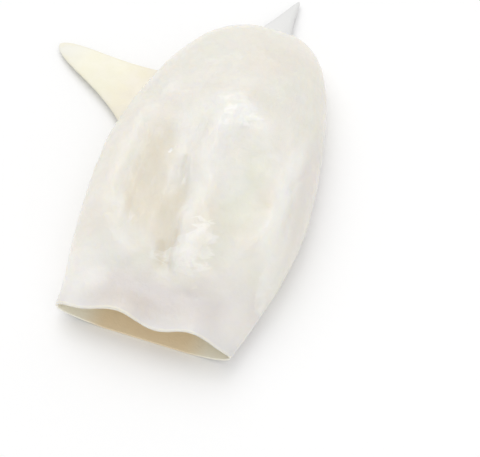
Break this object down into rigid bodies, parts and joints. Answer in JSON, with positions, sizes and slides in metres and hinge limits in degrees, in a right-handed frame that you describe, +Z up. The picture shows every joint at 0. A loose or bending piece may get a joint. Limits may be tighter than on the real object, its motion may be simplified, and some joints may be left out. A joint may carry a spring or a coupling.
{
  "type": "cleaned squid tube",
  "caption": "Hollow, flattened raw squid tube with an open wavy mouth, a closed rounded tip, soft creases and thin tail fins.",
  "frame": {"origin": "under the middle of the whole shape's box, on the surface the tube rests on", "axes": "+Y along the tube from its open mouth to its closed tip, +Z up, +X to the right seen from the mouth with the creased side up"},
  "size_m": [0.1208, 0.166, 0.0238],
  "materials": {
    "flesh": "wet, smooth, milky white flesh, slightly translucent, warmer in the creases and yellower in the thin fins"
  },
  "bodies": {
    "root": {"squid_tube": "flesh"}
  },
  "joints": []
}
